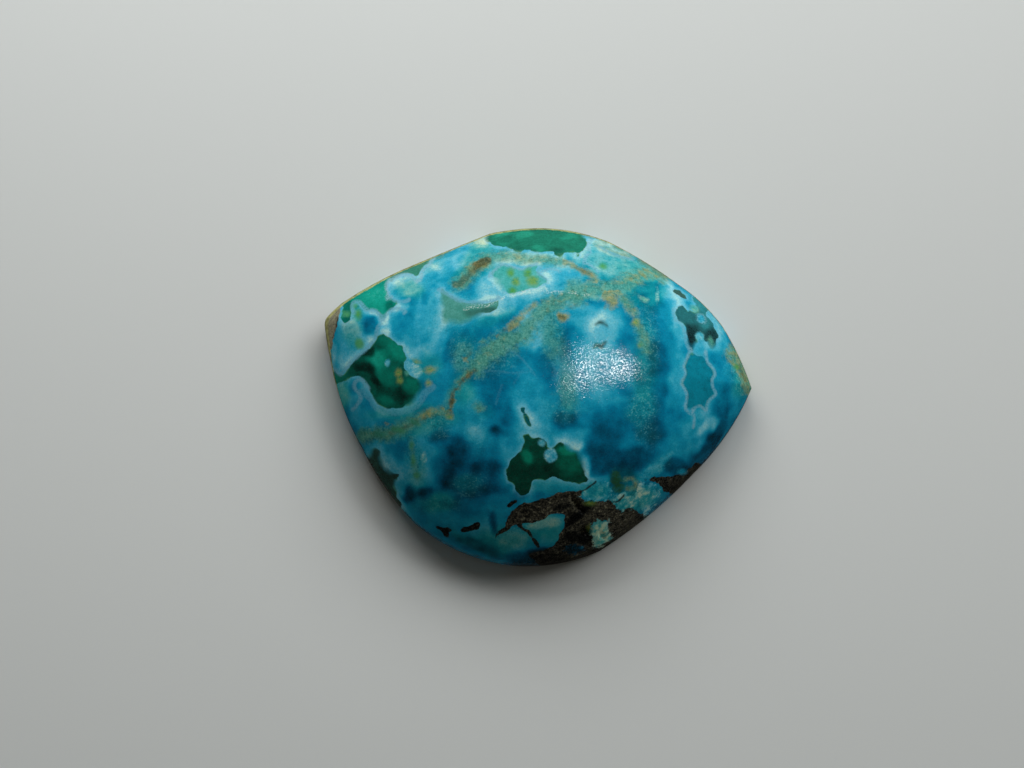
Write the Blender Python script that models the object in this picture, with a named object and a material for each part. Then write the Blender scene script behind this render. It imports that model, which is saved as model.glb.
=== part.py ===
"""A polished chrysocolla cabochon: one piece of stone, cut to a free leaf-like outline.

A tall dome rises from a narrow upright girdle. The back is ground flat, with a small
chamfer round it. One end comes to a blunt tip and the other to a sharp one. The brown
host rock near the front edge is softer than the rest and has a few open pits.

Metres, +Z up. The origin is the centre of the outline, on the flat back.
"""

import math

import bmesh
import bpy
from mathutils import Matrix, Vector
from mathutils.bvhtree import BVHTree

MM = 0.001

# Driving dimensions, in millimetres.
CHAMFER = 0.55  # width and height of the chamfer round the back
GIRDLE_TOP = 2.2  # height where the upright girdle ends and the dome begins
DOME_RISE = 8.0  # from the top of the girdle to the crown
CROWN = (0.9, -0.4)  # where the dome is highest
CORE_RADII = (18.2, 15.6)  # the ellipse that the dome's contours ease into near the crown

# The dome's profile is (1 - s^FULLNESS)^STEEPNESS, with s 0 at the crown and 1 at the rim.
FULLNESS = 2.1
FAR_SHOULDER = 0.9  # added to FULLNESS towards +Y, where the dome stays high for longer
STEEPNESS = 0.60
CORNER_FADE = 5.0  # how quickly the outline's corners fade out up the dome

# The outline, clockwise from the blunt tip: each arc's start, and how far the arc stands
# out from its chord.
RIM_ARCS = (
    (-21.04, 7.44, 0.06),  # blunt tip
    (-19.25, 9.14, 0.20),
    (-12.56, 12.91, 0.02),
    (-4.72, 16.28, 0.15),
    (0.37, 16.87, 0.35),
    (7.33, 15.37, 0.18),
    (14.22, 10.89, 0.29),
    (18.48, 6.52, 0.18),
    (21.04, 0.48, 0.49),  # sharp tip
    (15.34, -7.68, 0.39),
    (6.04, -15.39, 0.71),
    (-3.58, -16.66, 0.61),
    (-11.89, -12.66, 0.33),
    (-17.03, -5.39, 0.41),
    (-20.32, 3.56, 0.03),
)
RIM_STEP = 0.95  # spacing of the points along the outline
DOME_RINGS = 20  # contour lines from the rim to the crown

# Open pits in the host rock: centre, half length, half width, depth, and turn in degrees.
PITS = (
    ("round_pit", (4.52, -14.15), 0.62, 0.56, 0.80, 0),
    ("long_pit", (3.75, -12.05), 0.95, 0.34, 0.45, 48),
    ("small_pit", (6.16, -14.45), 0.40, 0.24, 0.35, 30),
)

STONE_COLOUR = (0.012, 0.235, 0.335, 1.0)
STONE_ROUGHNESS = 0.28


def clear_scene():
    for obj in list(bpy.data.objects):
        bpy.data.objects.remove(obj, do_unlink=True)


def arc_points(start, end, bulge):
    """Points from start up to, but not including, end, on an arc that bulges to its left."""
    chord = end - start
    outward = Vector((-chord.y, chord.x)).normalized()
    count = max(2, round(chord.length / RIM_STEP))
    radius = (chord.length**2 / 4 + bulge**2) / (2 * bulge)
    centre = (start + end) / 2 + outward * (bulge - radius)
    half_angle = math.asin(chord.length / 2 / radius)
    for k in range(count):
        angle = half_angle * (1 - 2 * k / count)
        along = chord.normalized() * -math.sin(angle)
        yield centre + (outward * math.cos(angle) + along) * radius


def rim_outline():
    """The outline of the girdle, clockwise from the blunt tip."""
    points = []
    for (x, y, bulge), (next_x, next_y, _) in zip(RIM_ARCS, RIM_ARCS[1:] + RIM_ARCS[:1]):
        points += arc_points(Vector((x, y)), Vector((next_x, next_y)), bulge)
    return points


def core_radius(direction):
    """How far the ellipse round the crown reaches in this direction."""
    a, b = CORE_RADII
    return 1 / math.hypot(direction.x / a, direction.y / b)


def dome_height(share, direction):
    """Height above the back, at this share of the way from the crown to the rim."""
    towards_far_side = (1 + direction.y) / 2
    fullness = FULLNESS + FAR_SHOULDER * towards_far_side**2
    return GIRDLE_TOP + DOME_RISE * (1 - share**fullness) ** STEEPNESS


def dome_point(rim_point, share):
    """The point on the dome, this share of the way from the crown towards a rim point."""
    crown = Vector(CROWN)
    spoke = rim_point - crown
    direction = spoke.normalized()
    core = core_radius(direction)
    reach = core + (spoke.length - core) * share**CORNER_FADE
    place = crown + direction * reach * share
    return Vector((place.x, place.y, dome_height(share, direction)))


def inset(outline, distance):
    """The outline moved inwards, square to itself."""
    moved = []
    for k, point in enumerate(outline):
        before = (point - outline[k - 1]).normalized()
        after = (outline[(k + 1) % len(outline)] - point).normalized()
        inward = Vector((before.y + after.y, -before.x - after.x)).normalized()
        moved.append(point + inward * distance)
    return moved


def contour_rings(outline):
    """The stone's contour rings, from the edge of the flat back up to just below the crown."""
    rings = [
        [Vector((p.x, p.y, 0)) for p in inset(outline, CHAMFER)],
        [Vector((p.x, p.y, CHAMFER)) for p in outline],
    ]
    for k in range(DOME_RINGS):
        share = math.sin(math.pi / 2 * (1 - k / DOME_RINGS))
        rings.append([dome_point(point, share) for point in outline])
    return rings


def build_stone():
    """The whole stone without its pits: rings of points, joined by faces and closed at both ends."""
    mesh = bmesh.new()
    rings = [[mesh.verts.new(p * MM) for p in ring] for ring in contour_rings(rim_outline())]
    for lower, upper in zip(rings, rings[1:]):
        for k in range(len(lower)):
            mesh.faces.new((lower[k - 1], lower[k], upper[k], upper[k - 1]))
    crown = mesh.verts.new(Vector((*CROWN, GIRDLE_TOP + DOME_RISE)) * MM)
    for k in range(len(rings[-1])):
        mesh.faces.new((rings[-1][k - 1], rings[-1][k], crown))
    mesh.faces.new(rings[0])
    bmesh.ops.recalc_face_normals(mesh, faces=mesh.faces)
    return mesh


def stone_material():
    material = bpy.data.materials.new("polished_chrysocolla")
    material.use_nodes = True
    shader = material.node_tree.nodes["Principled BSDF"]
    shader.inputs["Base Color"].default_value = STONE_COLOUR
    shader.inputs["Roughness"].default_value = STONE_ROUGHNESS
    shader.inputs["Metallic"].default_value = 0.0
    return material


def add_object(name, mesh):
    data = bpy.data.meshes.new(name)
    mesh.to_mesh(data)
    mesh.free()
    obj = bpy.data.objects.new(name, data)
    bpy.context.scene.collection.objects.link(obj)
    return obj


def add_pit_cutter(name, surface, centre, half_length, half_width, depth, turn):
    """A hidden egg shape, sunk into the dome so that it cuts one open pit."""
    above = Vector((centre[0], centre[1], GIRDLE_TOP + 2 * DOME_RISE)) * MM
    place, normal, _, _ = surface.ray_cast(above, Vector((0, 0, -1)))
    mesh = bmesh.new()
    bmesh.ops.create_icosphere(mesh, subdivisions=2, radius=1.0)
    sizes = Matrix.Diagonal((half_length * MM, half_width * MM, depth * MM, 1))
    turned = Matrix.Rotation(math.radians(turn), 4, "Z")
    facing = normal.to_track_quat("Z", "Y").to_matrix().to_4x4()
    mesh.transform(Matrix.Translation(place) @ facing @ turned @ sizes)
    cutter = add_object(name, mesh)
    cutter.hide_render = True
    cutter.display_type = "WIRE"
    return cutter


def main():
    clear_scene()
    mesh = build_stone()
    surface = BVHTree.FromBMesh(mesh)
    stone = add_object("cabochon", mesh)
    stone.data.shade_smooth()
    stone.data.set_sharp_from_angle(angle=math.radians(35))
    stone.data.materials.append(stone_material())
    for name, *shape in PITS:
        cut = stone.modifiers.new(name, "BOOLEAN")
        cut.operation = "DIFFERENCE"
        cut.object = add_pit_cutter(name, surface, *shape)


main()
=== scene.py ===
"""A polished chrysocolla cabochon lying on pale paper, seen from above.

The stone is one fine mesh, made from the same outline and dome as the CAD solid. Its pattern
is drawn as named shapes: patches, veins, rock and soft washes of colour. Their places are given
as they appear in the photograph's 1024 x 768 frame. Each vertex stores its distance to each
kind of shape, and the material turns those distances into edges, rims and grains. Some of the
drawing is painted light: glints along the dome's far shoulder, shade in the open pits, and a
lighter front-left rim.

Lengths are millimetres until a mesh is made.
"""

import math

import bpy
import numpy as np
from mathutils import Matrix, Vector, noise


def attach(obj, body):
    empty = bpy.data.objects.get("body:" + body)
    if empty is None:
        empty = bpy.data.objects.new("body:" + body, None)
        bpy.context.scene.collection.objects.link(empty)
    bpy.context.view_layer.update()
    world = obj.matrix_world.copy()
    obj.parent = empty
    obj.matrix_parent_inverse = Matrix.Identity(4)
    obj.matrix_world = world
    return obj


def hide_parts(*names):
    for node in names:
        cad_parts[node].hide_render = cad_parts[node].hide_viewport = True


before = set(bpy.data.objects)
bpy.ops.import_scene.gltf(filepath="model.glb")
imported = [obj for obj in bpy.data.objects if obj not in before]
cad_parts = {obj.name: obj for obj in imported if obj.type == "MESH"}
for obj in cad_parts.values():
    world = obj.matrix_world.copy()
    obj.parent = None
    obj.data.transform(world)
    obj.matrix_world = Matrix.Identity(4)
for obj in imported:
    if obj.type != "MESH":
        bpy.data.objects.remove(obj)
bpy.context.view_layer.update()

MM = 0.001

# ---------------------------------------------------------------- the camera

PHOTO_WIDTH = 1024
PHOTO_MIDDLE = (512, 384)
CAMERA_TILT = math.radians(76)  # above the horizon, looking along +Y
CAMERA_DISTANCE = 220
CAMERA_TARGET = np.array((-2.43, 0.98, 2.0))
STONE_LENGTH = 42
STONE_PIXELS = 428  # its length in the photograph
MM_PER_PIXEL = STONE_LENGTH / STONE_PIXELS
FOCAL_PIXELS = CAMERA_DISTANCE / MM_PER_PIXEL
SENSOR_WIDTH = 36

VIEW_FORWARD = np.array((0, math.cos(CAMERA_TILT), -math.sin(CAMERA_TILT)))
VIEW_UP = np.array((0, math.sin(CAMERA_TILT), math.cos(CAMERA_TILT)))
CAMERA_PLACE = CAMERA_TARGET - CAMERA_DISTANCE * VIEW_FORWARD


def photo_places(points):
    """Where these points appear in the photograph, in pixels."""
    offset = points - CAMERA_PLACE
    depth = offset @ VIEW_FORWARD
    across = PHOTO_MIDDLE[0] + FOCAL_PIXELS * offset[:, 0] / depth
    down = PHOTO_MIDDLE[1] - FOCAL_PIXELS * (offset @ VIEW_UP) / depth
    return np.stack((across, down), 1)


def add_camera():
    camera = bpy.data.objects.new("camera", bpy.data.cameras.new("camera"))
    camera.data.sensor_width = SENSOR_WIDTH
    camera.data.lens = FOCAL_PIXELS * SENSOR_WIDTH / PHOTO_WIDTH
    camera.data.clip_start = 0.005
    camera.data.clip_end = 20
    camera.location = CAMERA_PLACE * MM
    camera.rotation_euler = (math.pi / 2 - CAMERA_TILT, 0, 0)
    bpy.context.scene.collection.objects.link(camera)
    bpy.context.scene.camera = camera


# ---------------------------------------------------------------- the stone's shape

# The dome rises from the girdle's top to the crown. Its profile is (1 - s^FULLNESS)^STEEPNESS, with
# s 0 at the crown and 1 at the rim, and it stays high for longer towards +Y.
GIRDLE_TOP = 2.2
DOME_RISE = 8
CROWN = np.array((0.9, -0.4))
CORE_RADII = (18.2, 15.6)
FULLNESS = 2.1
FAR_SHOULDER = 0.9
STEEPNESS = 0.6
CORNER_FADE = 5  # how quickly the outline's corners fade out up the dome

# The girdle's outline, clockwise: each arc's start, how far it bulges, and its point spacing. The
# first arc rounds the blunt left tip. The points were picked on the photograph, and a program
# turned all but the first two into mm.
COARSE, FINE = 0.25, 0.13
RIM_ARCS = (
    (-20.9, 6.7, 0.17, COARSE),
    (-20.5, 7.96, 0.03, COARSE),
    (-19.25, 9.14, 0.2, COARSE),
    (-12.56, 12.91, 0.02, COARSE),
    (-4.72, 16.28, 0.15, COARSE),
    (0.37, 16.87, 0.35, COARSE),
    (7.33, 15.37, 0.18, COARSE),
    (14.22, 10.89, 0.29, COARSE),
    (18.48, 6.52, 0.18, COARSE),
    (21.04, 0.48, 0.49, COARSE),
    (15.34, -7.68, 0.39, FINE),
    (6.04, -15.39, 0.71, FINE),
    (-3.58, -16.66, 0.61, COARSE),
    (-11.89, -12.66, 0.33, COARSE),
    (-17.03, -5.39, 0.41, COARSE),
    (-20.32, 3.56, 0.03, COARSE),
)

# From the flat back out to the girdle: distance in from the outline, and height.
EDGE_PROFILE = (
    (0.8, 0), (0.62, 0.012), (0.53, 0.055), (0.3, 0.27), (0.07, 0.5), (0.02, 0.6), (0, 0.75), (0, 0.95),
    (0, 1.15), (0, 1.35), (0, 1.55), (0, 1.75), (0, 1.95), (0, 2.1),
)
BACK_RINGS = 14
DOME_RINGS = 112
RING_CROWDING = 0.85  # under 1 puts the rings closer together near the rim

# Open pits in the rock: centre, half length, half width, depth, and turn in degrees.
PITS = (
    ((4.52, -14.15), 0.62, 0.56, 0.8, 0),
    ((3.75, -12.05), 0.95, 0.34, 0.45, 48),
    ((6.16, -14.45), 0.4, 0.24, 0.35, 30),
)

# How far the rock is worn below the polish, how unevenly, and over what size.
ROCK_WEAR = 0.05
WEAR_UNEVENNESS = 0.06
WEAR_SIZE = 0.5

# The thin ochre skin that is left along the girdle's top, and gets wider towards +Y.
SKIN_HEIGHT = 2.25
SKIN_HALF_HEIGHT = 0.22
SKIN_RISE, SKIN_GROWTH = 0.065, 0.022  # mm, for each mm towards +Y
SKIN_END = 1.5  # how far it fades out towards -Y
BARE_GIRDLE = 0.8  # how matt the stone is below its girdle's top


def arc_points(start, end, bulge, step):
    """Points from start up to, but not including, end, on an arc that bulges to its left."""
    chord = end - start
    length = np.linalg.norm(chord)
    along = chord / length
    outward = np.array((-along[1], along[0]))
    count = max(2, round(length / step))
    radius = (length**2 / 4 + bulge**2) / (2 * bulge)
    centre = (start + end) / 2 + outward * (bulge - radius)
    angles = math.asin(length / 2 / radius) * (1 - 2 * np.arange(count) / count)
    return centre + radius * (np.cos(angles)[:, None] * outward - np.sin(angles)[:, None] * along)


def rim_outline():
    arcs = zip(RIM_ARCS, RIM_ARCS[1:] + RIM_ARCS[:1])
    return np.concatenate([
        arc_points(np.array((x, y)), np.array((next_x, next_y)), bulge, step)
        for (x, y, bulge, step), (next_x, next_y, _, _) in arcs
    ])


def inset(outline, distance):
    """The outline, moved in by this distance towards the middle."""
    along = np.roll(outline, -1, 0) - np.roll(outline, 1, 0)
    inward = np.stack((along[:, 1], -along[:, 0]), 1)
    inward /= np.linalg.norm(inward, axis=1, keepdims=True)
    to_middle = -outline / np.linalg.norm(outline, axis=1, keepdims=True)
    straightness = np.maximum(0.6, (inward * to_middle).sum(1))
    return outline + to_middle * (distance / straightness)[:, None]


def dome_rings(outline):
    """Rings from the top of the girdle up to just below the crown, evenly spaced over the dome."""
    tries = np.linspace(0, 1, 4000)
    rises = DOME_RISE * (1 - tries**FULLNESS) ** STEEPNESS
    travelled = np.concatenate(([0], np.cumsum(np.hypot(np.diff(tries) * CORE_RADII[0], np.diff(rises)))))
    wanted = np.linspace(1, 0, DOME_RINGS, endpoint=False) ** RING_CROWDING
    shares = np.interp(wanted * travelled[-1], travelled, tries)
    spoke = outline - CROWN
    length = np.linalg.norm(spoke, axis=1)
    direction = spoke / length[:, None]
    core = 1 / np.hypot(direction[:, 0] / CORE_RADII[0], direction[:, 1] / CORE_RADII[1])
    fullness = FULLNESS + FAR_SHOULDER * (0.5 + 0.5 * direction[:, 1]) ** 2
    for share in shares:
        reach = core + (length - core) * share**CORNER_FADE
        height = GIRDLE_TOP + DOME_RISE * (1 - share**fullness) ** STEEPNESS
        yield np.column_stack((CROWN + direction * (reach * share)[:, None], height))


def stone_points():
    """All the stone's points: the middle of the back, rings out and up, and the crown."""
    outline = rim_outline()
    rings = []
    back_edge = inset(outline, EDGE_PROFILE[0][0])
    for k in range(1, BACK_RINGS):
        rings.append(np.column_stack((back_edge * k / BACK_RINGS, np.zeros(len(outline)))))
    for distance, height in EDGE_PROFILE:
        rings.append(np.column_stack((inset(outline, distance), np.full(len(outline), height))))
    rings += dome_rings(outline)
    crown = (*CROWN, GIRDLE_TOP + DOME_RISE)
    return np.concatenate(([(0, 0, 0)], *rings, [crown])), len(rings), len(outline)


def stone_faces(ring_count, spoke_count):
    """Faces that join the rings, and the fans at the middle of the back and at the crown."""
    here = np.arange(spoke_count)
    after = (here + 1) % spoke_count
    first = lambda ring: 1 + ring * spoke_count
    faces = [(0, first(0) + a, first(0) + b) for a, b in zip(here.tolist(), after.tolist())]
    for ring in range(ring_count - 1):
        low, high = first(ring), first(ring + 1)
        faces += np.column_stack((low + after, low + here, high + here, high + after)).tolist()
    crown = 1 + ring_count * spoke_count
    low = first(ring_count - 1)
    faces += [(low + b, low + a, crown) for a, b in zip(here.tolist(), after.tolist())]
    return faces


# ---------------------------------------------------------------- the drawing

# Soft washes over the blue ground: place, half width, half height, the tone they bring, from 0,
# near-black navy, to 1, near-white, and the turn in degrees where it isn't 0. The places were set
# one by one. Many of the tones follow a program's comparison of a render with the photograph at
# these places.
GROUND_TONE = 0.5
GROUND_GREEN = 0.1
TONE_WASHES = (
    # left end
    (352, 345, 18, 26, 0.7), (369, 324, 10, 10, 0.34), (352, 328, 9, 12, 0.76), (344, 362, 8, 9, 0.78),
    (374, 312, 8, 4, 0.74), (365, 340, 7, 6, 0.8), (332, 352, 3, 12, 0.78), (400, 283, 17, 11, 0.76),
    (408, 290, 12, 6, 0.74), (424, 303, 10, 24, 0.7), (432, 345, 28, 14, 0.8, 10),
    (440, 320, 12, 24, 0.72), (400, 325, 17, 13, 0.55), (418, 337, 12, 9, 0.66), (385, 327, 7, 14, 0.82),
    (398, 309, 12, 4, 0.72), (440, 365, 9, 24, 0.58, 10), (456, 345, 8, 20, 0.38, 30),
    (410, 350, 16, 5, 0.76, 25), (425, 290, 5, 10, 0.52), (380, 415, 8, 5, 0.66, 30),
    (421, 366, 12, 11, 0.58), (422, 384, 5, 7, 0.42), (344, 394, 9, 14, 0.68), (420, 318, 5, 9, 0.72, 20),
    # far side
    (446, 268, 30, 13, 0.83, -28), (430, 283, 10, 12, 0.64), (459, 250, 16, 5, 0.76, -20),
    (480, 246, 8, 6, 0.72), (478, 240, 20, 5, 0.88, -24), (470, 292, 15, 7, 0.5), (452, 280, 9, 11, 0.54),
    (489, 288, 16, 12, 0.82), (465, 272, 16, 5, 0.56, -35), (455, 247, 9, 3, 0.74, -20),
    (520, 258, 42, 8, 0.78), (560, 275, 20, 13, 0.78), (571, 282, 12, 8, 0.7),
    (611, 262, 34, 17, 0.78, 10), (590, 250, 10, 10, 0.76), (640, 268, 16, 9, 0.74, 30),
    (612, 246, 24, 9, 0.92, 25), (576, 307, 16, 8, 0.82), (540, 293, 44, 6, 0.78, -6),
    (500, 306, 30, 8, 0.7, -15), (660, 285, 14, 9, 0.72, 35), (607, 268, 20, 10, 0.79),
    (602, 292, 34, 6, 0.8), (666, 315, 8, 9, 0.76), (532, 320, 14, 16, 0.8), (578, 262, 6, 6, 0.66),
    (505, 321, 12, 4, 0.44, -25),
    # middle
    (478, 340, 18, 9, 0.46, -30), (470, 328, 12, 5, 0.46, -20), (489, 372, 26, 17, 0.36, -30),
    (528, 362, 22, 16, 0.46, -20), (534, 341, 14, 9, 0.82), (544, 352, 9, 6, 0.64),
    (545, 372, 12, 24, 0.34), (583, 318, 26, 13, 0.66), (572, 336, 12, 14, 0.46), (564, 345, 6, 12, 0.32),
    (600, 330, 18, 20, 0.86), (560, 310, 12, 7, 0.6), (597, 360, 26, 22, 0.66), (618, 322, 14, 12, 0.7),
    (626, 342, 9, 18, 0.52), (650, 298, 17, 16, 0.38), (650, 287, 12, 5, 0.5), (651, 300, 7, 6, 0.58),
    (632, 312, 9, 16, 0.48), (600, 403, 20, 20, 0.72), (572, 395, 14, 22, 0.56), (565, 418, 17, 8, 0.26),
    (640, 408, 14, 16, 0.52), (600, 422, 18, 9, 0.84), (604, 414, 5, 12, 0.84),
    (507, 390, 12, 16, 0.36, 20),
    # right end
    (672, 300, 9, 22, 0.8, -20), (668, 342, 12, 42, 0.5), (678, 330, 5, 26, 0.66),
    (656, 358, 9, 24, 0.26), (676, 385, 10, 30, 0.62), (722, 342, 7, 22, 0.64, -20),
    (722, 388, 6, 36, 0.5), (716, 325, 8, 20, 0.62, -28), (702, 349, 9, 6, 0.66),
    (698, 425, 20, 11, 0.68, -25), (694, 440, 24, 10, 0.66, -35), (738, 396, 12, 18, 0.58, 20),
    (734, 372, 9, 18, 0.6, -15), (722, 408, 7, 24, 0.36, 18), (706, 427, 13, 4, 0.88, -40),
    (719, 427, 4, 16, 0.34, 28), (712, 440, 6, 20, 0.16, 36), (698, 460, 8, 16, 0.24, 46),
    (660, 396, 7, 26, 0.36, 8), (676, 410, 9, 14, 0.48),
    # near the middle, in front
    (608, 442, 26, 34, 0.28), (641, 425, 24, 10, 0.34), (655, 436, 12, 16, 0.24),
    (636, 458, 16, 10, 0.22), (602, 466, 14, 9, 0.24), (624, 470, 9, 10, 0.16), (628, 440, 10, 9, 0.5),
    (600, 480, 18, 4, 0.66), (672, 450, 20, 12, 0.6, -35), (655, 467, 20, 5, 0.74, -38),
    (648, 475, 14, 4, 0.64, -30), (600, 452, 8, 8, 0.2), (531, 403, 22, 34, 0.62),
    (534, 422, 13, 14, 0.68), (573, 436, 17, 8, 0.74), (577, 444, 9, 4, 0.78), (586, 470, 5, 16, 0.7),
    (556, 484, 34, 6, 0.58), (545, 489, 18, 4, 0.56), (490, 404, 18, 12, 0.4), (497, 434, 9, 9, 0.12),
    (506, 414, 8, 12, 0.42), (468, 402, 15, 22, 0.6), (476, 436, 12, 18, 0.8), (503, 458, 12, 24, 0.78),
    (490, 448, 8, 12, 0.6), (456, 425, 12, 10, 0.6), (473, 416, 8, 8, 0.62),
    # front left: the stone's own tones, with those along the rim raised a little as painted light on the
    # shaded front slope
    (468, 478, 50, 34, 0.34), (420, 495, 26, 20, 0.46, 30), (427, 440, 14, 20, 0.66),
    (440, 437, 10, 7, 0.28), (400, 450, 14, 12, 0.42), (394, 464, 12, 8, 0.72, 30),
    (364, 420, 14, 12, 0.62, 30), (357, 405, 6, 10, 0.68), (380, 437, 14, 5, 0.28, -20),
    (373, 445, 9, 5, 0.52), (418, 472, 14, 22, 0.74), (410, 493, 9, 9, 0.14), (426, 493, 8, 9, 0.16),
    (400, 487, 5, 12, 0.56), (458, 456, 12, 15, 0.2), (450, 479, 9, 16, 0.14), (487, 468, 14, 8, 0.18),
    (476, 494, 24, 6, 0.22, -12), (466, 482, 10, 8, 0.34), (441, 500, 16, 8, 0.56),
    (470, 508, 30, 8, 0.38), (450, 522, 26, 10, 0.6, 20), (500, 505, 14, 10, 0.54, -30),
    (490, 528, 20, 11, 0.68), (425, 512, 14, 9, 0.54, 40), (446, 541, 30, 3, 0.26, 27),
    (478, 545, 24, 6, 0.28, 18), (505, 555, 18, 5, 0.34, 5), (545, 554, 28, 6, 0.04),
    (532, 565, 22, 10, 0.06), (394, 503, 8, 32, 0.64, -38), (448, 545, 36, 6, 0.48, 28),
    (495, 522, 4, 9, 0.24),
    # between the rocks
    (544, 522, 22, 9, 0.84, -12), (549, 536, 12, 8, 0.62, -15), (516, 541, 15, 13, 0.78),
    (574, 549, 16, 8, 0.04), (597, 492, 13, 8, 0.7), (636, 500, 18, 9, 0.74, -14),
    (618, 482, 8, 12, 0.26), (655, 490, 8, 9, 0.62), (600, 533, 11, 13, 0.92),
    (681, 470, 8, 6, 0.14, -20), (672, 464, 9, 6, 0.2, -10),
)

# Where the blue leans to green, in the same terms, from 0 to 1.
GREEN_WASHES = (
    (352, 328, 8, 18, 0.7), (408, 290, 14, 8, 0.9), (611, 265, 36, 18, 0.6, 10),
    (640, 275, 24, 12, 0.9, 20), (632, 296, 14, 12, 0.9, 40), (480, 262, 18, 12, 0.8, -30),
    (480, 246, 10, 8, 1), (430, 265, 12, 8, 0.4), (520, 258, 40, 6, 0.6), (590, 290, 30, 7, 0.8, -10),
    (494, 352, 40, 14, 0.4, -35), (466, 272, 16, 6, 0.8, -35), (468, 350, 14, 20, 0.5),
    (552, 335, 10, 24, 0.5), (568, 392, 10, 22, 0.5), (645, 372, 10, 50, 0.7), (640, 412, 14, 10, 0.5),
    (742, 382, 9, 15, 0.9), (700, 382, 12, 24, 0.4), (420, 424, 38, 11, 0.8, -14), (352, 308, 9, 12, 0.8),
    (428, 368, 12, 14, 0.7), (441, 502, 18, 10, 0.9), (468, 484, 12, 10, 0.6), (418, 475, 8, 24, 0.5),
    (500, 540, 30, 12, 0.8), (550, 486, 30, 8, 0.5), (624, 480, 14, 14, 0.8), (478, 545, 30, 6, 0.8, 20),
    (544, 524, 22, 12, 0.9, -15), (600, 533, 12, 14, 1), (634, 500, 24, 11, 0.8, -18),
    (597, 492, 15, 10, 0.7), (480, 408, 10, 10, 0.4), (370, 434, 18, 6, 0.4, -10), (344, 394, 9, 16, 1),
    (548, 534, 14, 10, 0.8), (400, 412, 30, 8, 0.8, -8), (462, 388, 12, 16, 0.8, 20),
    (492, 320, 20, 8, 0.6, -20), (650, 297, 14, 14, 0.8),
)

# How much of a pale halo the patches have, in the same terms, from 0 to 1.
GROUND_HALO = 0.8
HALO_WASHES = (
    (428, 378, 11, 24, 0), (699, 380, 22, 34, 0.25), (600, 335, 16, 20, 0.4), (404, 350, 6, 8, 0.5),
    (345, 388, 9, 10, 0.3), (560, 484, 30, 5, 0.5), (515, 497, 10, 6, 0.3), (365, 350, 12, 6, 1, -40),
    (545, 440, 16, 8, 1), (540, 256, 50, 6, 1), (470, 300, 26, 6, 1, 15), (465, 325, 26, 6, 0.7, -10),
    (388, 318, 14, 14, 1), (375, 305, 16, 12, 1),
)

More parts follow.
